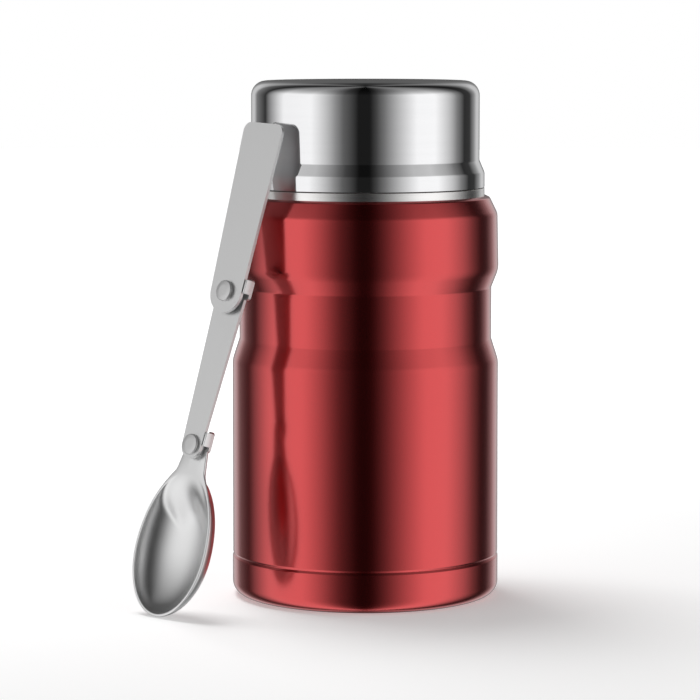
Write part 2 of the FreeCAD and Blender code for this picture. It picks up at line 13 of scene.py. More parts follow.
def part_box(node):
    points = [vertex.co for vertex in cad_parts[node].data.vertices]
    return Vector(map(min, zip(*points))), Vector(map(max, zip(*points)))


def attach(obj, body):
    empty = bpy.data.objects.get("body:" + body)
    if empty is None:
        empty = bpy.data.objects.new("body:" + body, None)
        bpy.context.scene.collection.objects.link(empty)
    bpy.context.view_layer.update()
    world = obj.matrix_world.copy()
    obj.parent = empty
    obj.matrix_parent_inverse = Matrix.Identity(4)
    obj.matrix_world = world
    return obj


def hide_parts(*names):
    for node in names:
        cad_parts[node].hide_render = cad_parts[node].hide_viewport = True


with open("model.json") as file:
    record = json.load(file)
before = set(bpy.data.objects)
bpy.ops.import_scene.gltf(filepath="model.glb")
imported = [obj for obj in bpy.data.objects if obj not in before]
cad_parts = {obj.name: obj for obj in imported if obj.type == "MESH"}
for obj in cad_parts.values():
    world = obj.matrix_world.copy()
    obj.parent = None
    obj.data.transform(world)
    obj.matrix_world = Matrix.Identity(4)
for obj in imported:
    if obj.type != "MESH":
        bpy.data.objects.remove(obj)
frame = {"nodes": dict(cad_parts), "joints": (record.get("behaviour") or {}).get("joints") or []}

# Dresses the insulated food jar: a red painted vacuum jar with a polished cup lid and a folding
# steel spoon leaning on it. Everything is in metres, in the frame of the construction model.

MM = 0.001
SEGMENTS = 256
ARC_STEP = math.radians(6.0)
SHARP_ANGLE = math.radians(35.0)
LEAST_ARC_STEPS = 3
LEAST_WRAP_STEPS = 4
LEAST_BEND = 0.05
ON_AXIS = 1e-4
TURNED_MERGE = 1e-7
NODE_MERGE = 1e-6
LEAST_ROUGHNESS = 0.01
MOTTLE_STOPS = (0.3, 0.7)
LOG = logging.getLogger("food_jar")

Point = tuple[float, float]
Colour = tuple[float, float, float, float]


class Corner(NamedTuple):
    """Corner of a turned outline, in millimetres: radius, height and the bend that rounds it."""

    r: float
    z: float
    bend: float = 0.0


class Body(Enum):
    """Bodies of the construction model that pieces ride on."""

    JAR = "jar"
    STOPPER = "stopper"
    CUP = "cup"
    SPOON_LINK = "spoon_link"
    SPOON_BOWL = "spoon_bowl"
    SPOON_HANDLE = "spoon_handle"


class NodeKit:
    """Short way to add and join nodes in one node tree."""

    def __init__(self, tree: bpy.types.NodeTree) -> None:
        """Keeps the tree.

        Args:
            tree: The node tree that the calls add to.
        """
        self.tree = tree

    def add(self, kind: str, **settings: object) -> bpy.types.Node:
        """Adds a node and sets its properties.

        Args:
            kind: The node's type name.
            **settings: Property names and values.

        Returns:
            The new node.
        """
        node = self.tree.nodes.new(kind)
        for name, value in settings.items():
            setattr(node, name, value)
        return node

    def join(self, source: bpy.types.NodeSocket, target: bpy.types.NodeSocket) -> None:
        """Links an output to an input."""
        self.tree.links.new(source, target)

    def math(self, operation: str, first: object, second: object = 0.0) -> bpy.types.NodeSocket:
        """Adds a Math node.

        Args:
            operation: The Math node's operation.
            first: A socket or a number.
            second: A socket or a number.

        Returns:
            The node's output socket.
        """
        node = self.add("ShaderNodeMath", operation=operation)
        for index, value in enumerate((first, second)):
            if isinstance(value, bpy.types.NodeSocket):
                self.join(value, node.inputs[index])
            else:
                node.inputs[index].default_value = value
        return node.outputs[0]

    def ramp(
        self, factor: bpy.types.NodeSocket, stops: Sequence[tuple[float, Colour]]
    ) -> bpy.types.NodeSocket:
        """Adds a colour ramp.

        Args:
            factor: The socket that drives the ramp.
            stops: Places from 0 to 1 and their colours, in order.

        Returns:
            The ramp's colour socket.
        """
        node = self.add("ShaderNodeValToRGB")
        elements = node.color_ramp.elements
        while len(elements) < len(stops):
            elements.new(0.5)
        for element, (place, colour) in zip(elements, stops):
            element.position = place
            element.color = colour
        self.join(factor, node.inputs["Fac"])
        return node.outputs["Color"]


def grey(level: float) -> Colour:
    """Opaque grey of one level."""
    return (level, level, level, 1.0)


def shade(colour: Colour, factor: float) -> Colour:
    """Colour made lighter or darker by a factor."""
    return (colour[0] * factor, colour[1] * factor, colour[2] * factor, 1.0)


@dataclass(frozen=True)
class Finish:
    """A surface finish: Principled values, with noise in its colour, roughness and relief."""

    name: str
    colour: Colour
    slot: str
    roughness: float = 0.4
    metallic: float = 0.0
    specular: float = 0.5
    coat: float = 0.0
    coat_roughness: float = 0.1
    coat_ior: float = 1.5
    mottle: float = 0.06
    mottle_scale: float = 60.0
    mottle_detail: float = 3.0
    roughness_spread: float = 0.06
    relief: float = 0.000004
    relief_scale: float = 1500.0
    relief_detail: float = 4.0
    stretch: tuple[float, float, float] = (1.0, 1.0, 1.0)

    def coordinates(self, kit: NodeKit) -> bpy.types.NodeSocket:
        """Object coordinates, stretched for the finish's grain.

        Args:
            kit: The material's node kit.

        Returns:
            The vector socket that the noises read.
        """
        place = kit.add("ShaderNodeTexCoord")
        mapping = kit.add("ShaderNodeMapping", vector_type="TEXTURE")
        mapping.inputs["Scale"].default_value = self.stretch
        kit.join(place.outputs["Object"], mapping.inputs["Vector"])
        return mapping.outputs["Vector"]

    def noise(
        self, kit: NodeKit, where: bpy.types.NodeSocket, scale: float, detail: float
    ) -> bpy.types.NodeSocket:
        """Noise factor at a scale.

        Args:
            kit: The material's node kit.
            where: The vector socket to read.
            scale: The noise's scale per metre.
            detail: The noise's octaves.

        Returns:
            The factor socket.
        """
        node = kit.add("ShaderNodeTexNoise")
        node.inputs["Scale"].default_value = scale
        node.inputs["Detail"].default_value = detail
        kit.join(where, node.inputs["Vector"])
        return node.outputs["Fac"]

    def dress(self, kit: NodeKit, shader: bpy.types.Node) -> None:
        """Adds the finish's colour, roughness and relief to its shader.

        Args:
            kit: The material's node kit.
            shader: The Principled shader.
        """
        where = self.coordinates(kit)
        cloudy = self.noise(kit, where, self.mottle_scale, self.mottle_detail)
        fine = self.noise(kit, where, self.relief_scale, self.relief_detail)
        darker, lighter = MOTTLE_STOPS
        tint = kit.ramp(cloudy, (
            (darker, shade(self.colour, 1.0 - self.mottle)),
            (lighter, shade(self.colour, 1.0 + self.mottle)),
        ))
        kit.join(tint, shader.inputs["Base Color"])
        spread = kit.add("ShaderNodeMapRange")
        spread.inputs["To Min"].default_value = max(self.roughness - self.roughness_spread, LEAST_ROUGHNESS)
        spread.inputs["To Max"].default_value = self.roughness + self.roughness_spread
        kit.join(cloudy, spread.inputs["Value"])
        kit.join(spread.outputs["Result"], shader.inputs["Roughness"])
        bump = kit.add("ShaderNodeBump")
        bump.inputs["Strength"].default_value = 1.0
        bump.inputs["Distance"].default_value = self.relief
        kit.join(fine, bump.inputs["Height"])
        kit.join(bump.outputs["Normal"], shader.inputs["Normal"])

    def material(self) -> bpy.types.Material:
        """Builds the material once.

        Returns:
            The material, new or as it was built before.
        """
        known = bpy.data.materials.get(self.name)
        if known is not None:
            return known
        material = bpy.data.materials.new(self.name)
        material.use_nodes = True
        kit = NodeKit(material.node_tree)
        shader = material.node_tree.nodes["Principled BSDF"]
        shader.inputs["Metallic"].default_value = self.metallic
        shader.inputs["Specular IOR Level"].default_value = self.specular
        shader.inputs["Coat Weight"].default_value = self.coat
        shader.inputs["Coat Roughness"].default_value = self.coat_roughness
        shader.inputs["Coat IOR"].default_value = self.coat_ior
        self.dress(kit, shader)
        return material


CANDY_RED = Finish(
    "candy_red_paint", (0.64, 0.004, 0.007, 1.0), "red_paint", roughness=0.20, metallic=1.0,
    coat=1.0, coat_roughness=0.16, coat_ior=1.82, mottle=0.05, mottle_scale=2600.0, roughness_spread=0.03,
    relief=0.0000006, relief_scale=4200.0,
)
MIRROR_STEEL = Finish(
    "mirror_steel", (0.86, 0.86, 0.87, 1.0), "polished_steel", roughness=0.06, metallic=1.0, mottle=0.012,
    mottle_scale=30.0, roughness_spread=0.018, relief=0.0000006, relief_scale=900.0, stretch=(1.0, 1.0, 0.05),
)
BARE_RING = Finish(
    "bare_ring_steel", (0.92, 0.91, 0.90, 1.0), "satin_steel", roughness=0.24, metallic=1.0, mottle=0.03,
    mottle_scale=45.0, roughness_spread=0.04, relief=0.0000015, relief_scale=1400.0, stretch=(1.0, 1.0, 0.04),
)
VESSEL_STEEL = Finish(
    "vessel_steel", (0.74, 0.74, 0.73, 1.0), "satin_steel", roughness=0.34, metallic=1.0, mottle=0.04,
    mottle_scale=50.0, roughness_spread=0.06, relief=0.000003, relief_scale=1600.0, stretch=(1.0, 1.0, 0.03),
)
SPOON_STEEL = Finish(
    "spoon_steel", (0.80, 0.80, 0.80, 1.0), "spoon_steel", roughness=0.30, metallic=1.0, mottle=0.03,
    mottle_scale=70.0, roughness_spread=0.05, relief=0.0000025, relief_scale=2200.0, stretch=(1.0, 1.0, 0.12),
)
BOWL_STEEL = Finish(
    "bowl_steel", (0.84, 0.84, 0.84, 1.0), "spoon_steel", roughness=0.36, metallic=1.0, mottle=0.02,
    mottle_scale=60.0, roughness_spread=0.04, relief=0.000001, relief_scale=1800.0,
)
RIVET_STEEL = Finish(
    "rivet_steel", (0.78, 0.78, 0.78, 1.0), "rivet_steel", roughness=0.16, metallic=1.0, mottle=0.03,
    mottle_scale=260.0, roughness_spread=0.04, relief=0.000002, relief_scale=3000.0,
)
BLACK_PLASTIC = Finish(
    "black_plastic", (0.022, 0.022, 0.024, 1.0), "black_plastic", roughness=0.42, mottle=0.15,
    mottle_scale=90.0, roughness_spread=0.07, relief=0.000012, relief_scale=2600.0,
)
GREY_PLASTIC = Finish(
    "grey_plastic", (0.16, 0.16, 0.17, 1.0), "grey_plastic", roughness=0.46, mottle=0.08,
    mottle_scale=80.0, roughness_spread=0.06, relief=0.000014, relief_scale=2400.0,
)
SILICONE = Finish(
    "clear_silicone", (0.72, 0.72, 0.70, 1.0), "silicone", roughness=0.55, mottle=0.04,
    mottle_scale=120.0, roughness_spread=0.05, relief=0.000005, relief_scale=1800.0,
)
FOAM = Finish(
    "closed_cell_foam", (0.86, 0.84, 0.76, 1.0), "foam", roughness=0.9, specular=0.2, mottle=0.08,
    mottle_scale=500.0, roughness_spread=0.05, relief=0.00015, relief_scale=900.0,
)
FOIL = Finish(
    "bright_foil", (0.88, 0.88, 0.90, 1.0), "foil", roughness=0.18, metallic=1.0, mottle=0.03,
    mottle_scale=90.0, roughness_spread=0.08, relief=0.00012, relief_scale=160.0,
)
GETTER_METAL = Finish(
    "sintered_metal", (0.30, 0.29, 0.28, 1.0), "getter_metal", roughness=0.62, metallic=1.0, mottle=0.2,
    mottle_scale=700.0, roughness_spread=0.08, relief=0.00005, relief_scale=2600.0,
)
SOLDER_GLASS = Finish(
    "solder_glass", (0.10, 0.085, 0.07, 1.0), "solder_glass", roughness=0.12, coat=0.6, mottle=0.2,
    mottle_scale=400.0, roughness_spread=0.04, relief=0.00001, relief_scale=600.0,
)


def soft_step(value: float) -> float:
    """Smooth step from 0 to 1.

    Args:
        value: The place, held to the range from 0 to 1.

    Returns:
        The step's height there.
    """
    held = min(max(value, 0.0), 1.0)
    return held * held * (3.0 - 2.0 * held)


def left_of(start: Sequence[float], end: Sequence[float]) -> Point:
    """Unit vector to the left of the way from start to end.

    Args:
        start: First point, radius and height.
        end: Second point.

    Returns:
        The vector's radius and height parts.
    """
    run = end[0] - start[0]
    rise = end[1] - start[1]
    length = math.hypot(run, rise)
    return -rise / length, run / length


def offset_path(path: Sequence[Corner], wall: float) -> list[Corner]:
    """Shifts an open path to its left by a wall.

    Args:
        path: The corners of the outer face.
        wall: The wall's thickness in millimetres.

    Returns:
        The corners of the inner face, in the same order.
    """
    moved = []
    for index, corner in enumerate(path):
        normals = []
        if index > 0:
            normals.append(left_of(path[index - 1], corner))
        if index < len(path) - 1:
            normals.append(left_of(corner, path[index + 1]))
        first = normals[0]
        last = normals[-1]
        scale = wall / (1.0 + first[0] * last[0] + first[1] * last[1])
        turn = first[0] * last[1] - first[1] * last[0]
        bend = max(corner.bend - math.copysign(wall, turn), LEAST_BEND) if corner.bend > 0 else 0.0
        r = corner.r + (first[0] + last[0]) * scale
        z = corner.z + (first[1] + last[1]) * scale
        moved.append(Corner(r, z, bend))
    return moved


def rounded(corners: Sequence[Corner]) -> list[Point]:
    """Points of a closed outline with each corner rounded by its bend.

    Args:
        corners: The outline's corners, in order.

    Returns:
        Radius and height of each point, in millimetres.
    """
    points: list[Point] = []
    count = len(corners)
    for index, corner in enumerate(corners):
        here = Vector(corner[:2])
        if corner.bend <= 0:
            points.append((here.x, here.y))
            continue
        back = (Vector(corners[index - 1][:2]) - here).normalized()
        ahead = (Vector(corners[(index + 1) % count][:2]) - here).normalized()
        half = back.angle(ahead) / 2.0
        centre = here + (back + ahead).normalized() * (corner.bend / math.sin(half))
        start = here + back * (corner.bend / math.tan(half)) - centre
        end = here + ahead * (corner.bend / math.tan(half)) - centre
        steps = max(LEAST_ARC_STEPS, math.ceil((math.pi - 2.0 * half) / ARC_STEP))
        for step in range(steps + 1):
            arm = start.slerp(end, step / steps) * corner.bend
            points.append((centre.x + arm.x, centre.y + arm.y))
    return points


def finish_mesh(name: str, work: bmesh.types.BMesh, merge: float = TURNED_MERGE) -> bpy.types.Mesh:
    """Merges doubles, points the faces outwards and makes the mesh, with its flat caps left flat.

    Args:
        name: The mesh's name.
        work: The bmesh, which is freed.
        merge: Distance below which points are one.

    Returns:
        The new mesh.
    """
    bmesh.ops.remove_doubles(work, verts=work.verts, dist=merge)
    bmesh.ops.recalc_face_normals(work, faces=work.faces)
    for face in work.faces:
        face.smooth = len(face.verts) <= 4
    mesh = bpy.data.meshes.new(name)
    work.to_mesh(mesh)
    work.free()
    mesh.set_sharp_from_angle(angle=SHARP_ANGLE)
    return mesh


def turned_mesh(name: str, corners: Sequence[Corner], segments: int = SEGMENTS) -> bpy.types.Mesh:
    """Turns a closed outline about Z.

    Args:
        name: The mesh's name.
        corners: The outline in millimetres.
        segments: Steps round the axis.

    Returns:
        A closed mesh in metres.
    """
    work = bmesh.new()
    rings = []
    for r, z in rounded(corners):
        if r < ON_AXIS:
            rings.append([work.verts.new((0.0, 0.0, z * MM))])
            continue
        angles = (2.0 * math.pi * step / segments for step in range(segments))
        places = ((r * MM * math.cos(angle), r * MM * math.sin(angle), z * MM) for angle in angles)
        rings.append([work.verts.new(place) for place in places])
    for index, low in enumerate(rings):
        high = rings[(index + 1) % len(rings)]
        if len(low) == 1 and len(high) == 1:
            continue
        for step in range(segments):
            after = (step + 1) % segments
            if len(low) == 1:
                work.faces.new((low[0], high[after], high[step]))
            elif len(high) == 1:
                work.faces.new((low[step], low[after], high[0]))
            else:
                work.faces.new((low[step], low[after], high[after], high[step]))
    return finish_mesh(name, work)


def turned_shell(name: str, path: Sequence[Corner], wall: float) -> bpy.types.Mesh:
    """Turns a sheet whose outer face follows the path.

    Args:
        name: The mesh's name.
        path: The outer face, with the wall to its left.
        wall: The wall's thickness in millimetres.

    Returns:
        A closed mesh in metres.
    """
    return turned_mesh(name, list(path) + offset_path(path, wall)[::-1])


def settle(obj: bpy.types.Object) -> bpy.types.Object:
    """Turns an object's modifiers into plain mesh.

    Args:
        obj: The object, already in the scene.

    Returns:
        The same object with no modifiers.
    """
    graph = bpy.context.evaluated_depsgraph_get()
    graph.update()
    mesh = bpy.data.meshes.new_from_object(obj.evaluated_get(graph), depsgraph=graph)
    obj.modifiers.clear()
    obj.data = mesh
    return obj


def add_object(name: str, mesh: bpy.types.Mesh) -> bpy.types.Object:
    """Puts a mesh in the scene at the origin."""
    obj = bpy.data.objects.new(name, mesh)
    bpy.context.scene.collection.objects.link(obj)
    return obj


def place_piece(
    obj: bpy.types.Object, finish: Finish, body: Body, stands_for: Sequence[str] = ()
) -> bpy.types.Object:
    """Gives a piece its finish and joins it to its body.

    Args:
        obj: The piece, with its place in its mesh.
        finish: The finish that it gets.
        body: The body that it rides on.
        stands_for: Construction nodes that it replaces.

    Returns:
        The piece.
    """
    obj.data.materials.clear()
    obj.data.materials.append(finish.material())
    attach(obj, body.value)
    if stands_for:
        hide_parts(*stands_for)
    LOG.info("%s rides on %s, %d faces", obj.name, body.value, len(obj.data.polygons))
    return obj


def smooth_tree() -> bpy.types.NodeTree:
    """Node tree that merges a construction node's loose triangles and shades its curved faces smooth.

    Returns:
        The tree, new or as it was built before.
    """
    name = "smooth_turned_faces"
    known = bpy.data.node_groups.get(name)
    if known is not None:
        return known
    tree = bpy.data.node_groups.new(name, "GeometryNodeTree")
    tree.interface.new_socket("Geometry", in_out="INPUT", socket_type="NodeSocketGeometry")
    limit = tree.interface.new_socket("Sharp angle", in_out="INPUT", socket_type="NodeSocketFloat")
    limit.default_value = SHARP_ANGLE
    tree.interface.new_socket("Geometry", in_out="OUTPUT", socket_type="NodeSocketGeometry")
    kit = NodeKit(tree)
    start = kit.add("NodeGroupInput")
    end = kit.add("NodeGroupOutput")
    merge = kit.add("GeometryNodeMergeByDistance")
    merge.inputs["Distance"].default_value = NODE_MERGE
    faces = kit.add("GeometryNodeSetShadeSmooth", domain="FACE")
    edges = kit.add("GeometryNodeSetShadeSmooth", domain="EDGE")
    angle = kit.add("GeometryNodeInputMeshEdgeAngle")
    below = kit.add("FunctionNodeCompare", data_type="FLOAT", operation="LESS_THAN")
    kit.join(start.outputs[0], merge.inputs["Geometry"])
    kit.join(merge.outputs["Geometry"], faces.inputs["Geometry"])
    kit.join(faces.outputs["Geometry"], edges.inputs["Geometry"])
    kit.join(angle.outputs["Unsigned Angle"], below.inputs[0])
    kit.join(start.outputs[1], below.inputs[1])
    kit.join(below.outputs[0], edges.inputs["Shade Smooth"])
    kit.join(edges.outputs["Geometry"], end.inputs[0])
    return tree


def dress_nodes(finishes: dict[str, Finish]) -> None:
    """Gives construction nodes that stay in view their finish and smooth shading.

    Args:
        finishes: Node names and the finish of each.
    """
    for name, finish in finishes.items():
        obj = frame["nodes"][name]
        obj.data.materials.clear()
        obj.data.materials.append(finish.material())
        modifier = obj.modifiers.new("smooth", "NODES")
        modifier.node_group = smooth_tree()
        LOG.info("%s keeps its solid, finished as %s", name, finish.name)


@dataclass(frozen=True)
class ThreadRidge:
    """One rounded screw ridge that climbs round a wall, in millimetres."""

    name: str
    radius: float
    start_height: float
    pitch: float = 3.6
    turns: float = 1.25
    ridge: float = 0.62
    taper: float = 0.12
    least_swell: float = 0.002
    swell_power: float = 0.6
    turn_steps: int = 96
    section_steps: int = 12

    @property
    def sizes(self) -> dict[str, float]:
        """Named inputs of the ridge's node tree, in metres."""
        return {
            "Radius": self.radius * MM,
            "Pitch": self.pitch * MM,
            "Turns": self.turns,
            "Ridge": self.ridge * MM,
            "Taper": self.taper,
            "Start height": self.start_height * MM,
        }

    def tree(self, material: bpy.types.Material) -> bpy.types.NodeTree:
        """Node tree of the ridge: a helix, thinned at its ends, swept by a round section.

        Args:
            material: The material that the tree sets.

        Returns:
            The geometry node tree, with the ridge's sizes as named inputs.
        """
        tree = bpy.data.node_groups.new(self.name + "_sweep", "GeometryNodeTree")
        for label in self.sizes:
            tree.interface.new_socket(label, in_out="INPUT", socket_type="NodeSocketFloat")
        tree.interface.new_socket("Geometry", in_out="OUTPUT", socket_type="NodeSocketGeometry")
        kit = NodeKit(tree)
        given = kit.add("NodeGroupInput").outputs
        helix = kit.add("GeometryNodeCurveSpiral")
        helix.inputs["Resolution"].default_value = self.turn_steps
        kit.join(given["Turns"], helix.inputs["Rotations"])
        kit.join(given["Radius"], helix.inputs["Start Radius"])
        kit.join(given["Radius"], helix.inputs["End Radius"])
        kit.join(kit.math("MULTIPLY", given["Pitch"], given["Turns"]), helix.inputs["Height"])
        along = kit.add("GeometryNodeSplineParameter").outputs["Factor"]
        nearest_end = kit.math("MINIMUM", along, kit.math("SUBTRACT", 1.0, along))
        swell = kit.math("MINIMUM", kit.math("DIVIDE", nearest_end, given["Taper"]), 1.0)
        soft = kit.math("POWER", kit.math("MAXIMUM", swell, self.least_swell), self.swell_power)
        section = kit.add("GeometryNodeCurvePrimitiveCircle", mode="RADIUS")
        section.inputs["Resolution"].default_value = self.section_steps
        section.inputs["Radius"].default_value = 1.0
        sweep = kit.add("GeometryNodeCurveToMesh")
        sweep.inputs["Fill Caps"].default_value = True
        kit.join(helix.outputs["Curve"], sweep.inputs["Curve"])
        kit.join(section.outputs["Curve"], sweep.inputs["Profile Curve"])
        kit.join(kit.math("MULTIPLY", soft, given["Ridge"]), sweep.inputs["Scale"])
        lift = kit.add("ShaderNodeCombineXYZ")
        kit.join(given["Start height"], lift.inputs["Z"])
        move = kit.add("GeometryNodeTransform")
        kit.join(sweep.outputs["Mesh"], move.inputs["Geometry"])
        kit.join(lift.outputs["Vector"], move.inputs["Translation"])
        smooth = kit.add("GeometryNodeSetShadeSmooth")
        kit.join(move.outputs["Geometry"], smooth.inputs["Geometry"])
        real = kit.add("GeometryNodeRealizeInstances")
        kit.join(smooth.outputs["Geometry"], real.inputs["Geometry"])
        paint = kit.add("GeometryNodeSetMaterial")
        paint.inputs["Material"].default_value = material
        kit.join(real.outputs["Geometry"], paint.inputs["Geometry"])
        kit.join(paint.outputs["Geometry"], kit.add("NodeGroupOutput").inputs[0])
        return tree

    def build(self, finish: Finish, body: Body) -> bpy.types.Object:
        """Makes the ridge and joins it to its body.

        Args:
            finish: The finish of the wall that it stands on.
            body: The body that it rides on.

        Returns:
            The ridge as a plain mesh.
        """
        tree = self.tree(finish.material())
        obj = add_object(self.name, bpy.data.meshes.new(self.name))
        modifier = obj.modifiers.new("sweep", "NODES")
        modifier.node_group = tree
        for item in tree.interface.items_tree:
            if item.in_out == "INPUT":
                modifier[item.identifier] = self.sizes[item.name]
        settle(obj)
        work = bmesh.new()
        work.from_mesh(obj.data)
        obj.data = finish_mesh(self.name, work)
        return place_piece(obj, finish, body)


@dataclass
class JarBody:
    """The jar: red outer shell and bottom cup, bare neck ring and neck. Sizes in millimetres."""

    body_radius: float = 48.45
    base_radius: float = 48.6
    waist_radius: float = 45.9
    shoulder_radius: float = 48.05
    shoulder_edge_radius: float = 45.3
    neck_radius: float = 36.4
    recess_radius: float = 34.0
    recess_depth: float = 2.2
    shell_wall: float = 0.6
    base_wall: float = 0.8
    neck_wall: float = 0.7
    seam_depth: float = 0.4
    seam_half_width: float = 0.8
    seam_bend: float = 0.5
    lower_body_drop: float = 59.8
    waist_bottom_drop: float = 51.9
    waist_top_drop: float = 33.2
    bulge_bottom_drop: float = 26.7
    bulge_top_drop: float = 6.4
    shoulder_slope: float = 0.7
    body_bend: float = 9.0
    waist_bend: float = 1.6
    shoulder_bend: float = 4.5
    shoulder_edge_bend: float = 1.0
    shell_lip_bend: float = 0.8
    base_corner: float = 5.0
    foot_width: float = 8.0
    foot_bend: float = 1.0
    ring_top: float = 148.9
    ring_bend: float = 0.3
    neck_foot_bend: float = 0.6
    thread_start: float = 151.8
    seam_height: float = field(init=False)
    shoulder_top: float = field(init=False)
    ring_radius: float = field(init=False)
    neck_top: float = field(init=False)

    def __post_init__(self) -> None:
        """Reads the heights and the ring's radius from the construction model."""
        self.seam_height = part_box("outer_shell")[0].z / MM
        self.shoulder_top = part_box("outer_shell")[1].z / MM
        self.ring_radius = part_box("neck_collar")[1].x / MM
        self.neck_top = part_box("neck_collar")[1].z / MM

    def shell_path(self) -> list[Corner]:
        """Outer face of the red shell, from the seam up to the bare ring."""
        top = self.shoulder_top
        return [
            Corner(self.body_radius - self.seam_depth, self.seam_height),
            Corner(self.body_radius, self.seam_height + self.seam_half_width, self.seam_bend),
            Corner(self.body_radius, top - self.lower_body_drop, self.body_bend),
            Corner(self.waist_radius, top - self.waist_bottom_drop, self.waist_bend),
            Corner(self.waist_radius, top - self.waist_top_drop, self.waist_bend),
            Corner(self.body_radius, top - self.bulge_bottom_drop, self.body_bend),
            Corner(self.shoulder_radius, top - self.bulge_top_drop, self.shoulder_bend),
            Corner(self.shoulder_edge_radius, top - self.shoulder_slope, self.shoulder_edge_bend),
            Corner(self.ring_radius + self.shell_wall, top, self.shell_lip_bend),
            Corner(self.ring_radius - self.neck_wall, top),
        ]

    def base_path(self) -> list[Corner]:
        """Outer face of the bottom cup, from its centre out and up to the seam."""
        return [
            Corner(0.0, self.recess_depth),
            Corner(self.recess_radius, self.recess_depth, self.foot_bend),
            Corner(self.base_radius - self.base_corner - self.foot_width, 0.0, self.foot_bend),
            Corner(self.base_radius, 0.0, self.base_corner),
            Corner(self.base_radius, self.seam_height - self.seam_half_width, self.seam_bend),
            Corner(self.body_radius - self.seam_depth, self.seam_height),
        ]

    def neck_path(self) -> list[Corner]:
        """Outer face of the bare ring and the neck above it."""
        return [
            Corner(self.ring_radius, self.shoulder_top),
            Corner(self.ring_radius, self.ring_top, self.ring_bend),
            Corner(self.neck_radius, self.ring_top, self.neck_foot_bend),
            Corner(self.neck_radius, self.neck_top),
        ]

    def build(self) -> None:
        """Makes the jar's own pieces and dresses the nodes inside it."""
        shell = add_object("red_shell", turned_shell("red_shell", self.shell_path(), self.shell_wall))
        place_piece(shell, CANDY_RED, Body.JAR, ["outer_shell"])
        base = add_object("red_base_cup", turned_shell("red_base_cup", self.base_path(), self.base_wall))
        place_piece(base, CANDY_RED, Body.JAR, ["bottom_cup"])
        neck = add_object("bare_neck", turned_shell("bare_neck", self.neck_path(), self.neck_wall))
        place_piece(neck, BARE_RING, Body.JAR, ["neck_collar"])
        ThreadRidge("neck_thread", self.neck_radius, self.thread_start).build(BARE_RING, Body.JAR)
        dress_nodes({
            "inner_liner": VESSEL_STEEL,
            "base_disc": VESSEL_STEEL,
            "liner_foil": FOIL,
            "getter": GETTER_METAL,
            "vacuum_seal": SOLDER_GLASS,
        })


@dataclass
class Stopper:
    """The screw stopper: its solids stay, with thread ridges inside and out. Sizes in millimetres."""

    thread_lift: float = 1.8
    thread_start: float = 151.8
    skirt_inner: float = 37.3
    skirt_outer: float = field(init=False)

    def __post_init__(self) -> None:
        """Reads the skirt's outer radius from the construction model."""
        self.skirt_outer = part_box("stopper_shell")[1].x / MM

    def build(self) -> None:
        """Dresses the stopper and adds its threads."""
        dress_nodes({
            "stopper_shell": BLACK_PLASTIC,
            "stopper_top_cover": GREY_PLASTIC,
            "stopper_base": BLACK_PLASTIC,
            "stopper_foam": FOAM,
            "stopper_gasket": SILICONE,
        })
        inside = ThreadRidge("stopper_inner_thread", self.skirt_inner, self.thread_start + self.thread_lift)
        inside.build(BLACK_PLASTIC, Body.STOPPER)
        outside = ThreadRidge("stopper_outer_thread", self.skirt_outer, self.thread_start)
        outside.build(BLACK_PLASTIC, Body.STOPPER)


@dataclass
class CupLid:
    """The polished cup lid. Sizes in millimetres."""

    radius: float = 41.4
    wall: float = 0.6
    edge_bend: float = 5.3
    skirt_drop: float = 33.1
    skirt_bend: float = 2.5
    flare_drop: float = 28.6
    flare_bend: float = 1.8
    thread_radius: float = 39.7
    thread_start: float = 153.6
    skirt_radius: float = field(init=False)
    bottom: float = field(init=False)
    top: float = field(init=False)

    def __post_init__(self) -> None:
        """Reads the cup's reach from the construction model."""
        low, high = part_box("cup_shell")
        self.skirt_radius = high.x / MM
        self.bottom = low.z / MM
        self.top = high.z / MM

    def path(self) -> list[Corner]:
        """Outer face of the cup, from its skirt up to the middle of its top."""
        return [
            Corner(self.skirt_radius, self.bottom),
            Corner(self.skirt_radius, self.top - self.skirt_drop, self.skirt_bend),
            Corner(self.radius, self.top - self.flare_drop, self.flare_bend),
            Corner(self.radius, self.top, self.edge_bend),
            Corner(0.0, self.top),
        ]

    def build(self) -> None:
        """Makes the polished shell and dresses what is inside it."""
        shell = add_object("polished_cup", turned_shell("polished_cup", self.path(), self.wall))
        place_piece(shell, MIRROR_STEEL, Body.CUP, ["cup_shell"])
        ThreadRidge("cup_thread", self.thread_radius, self.thread_start).build(GREY_PLASTIC, Body.CUP)
        dress_nodes({
            "cup_liner": VESSEL_STEEL,
            "cup_thread_ring": GREY_PLASTIC,
            "cup_seal_ring": SILICONE,
            "cup_foil": FOIL,
        })


class Circle(NamedTuple):
    """A circle that a strip's edge wraps, in millimetres."""

    x: float
    y: float
    radius: float


class RimPoint(NamedTuple):
    """One point of the bowl's plan edge, with what the rings that pass it need, in millimetres."""

    plan: Vector
    outward: Vector
    inside: float
    outside: float
    sheet: float
    gentle: float


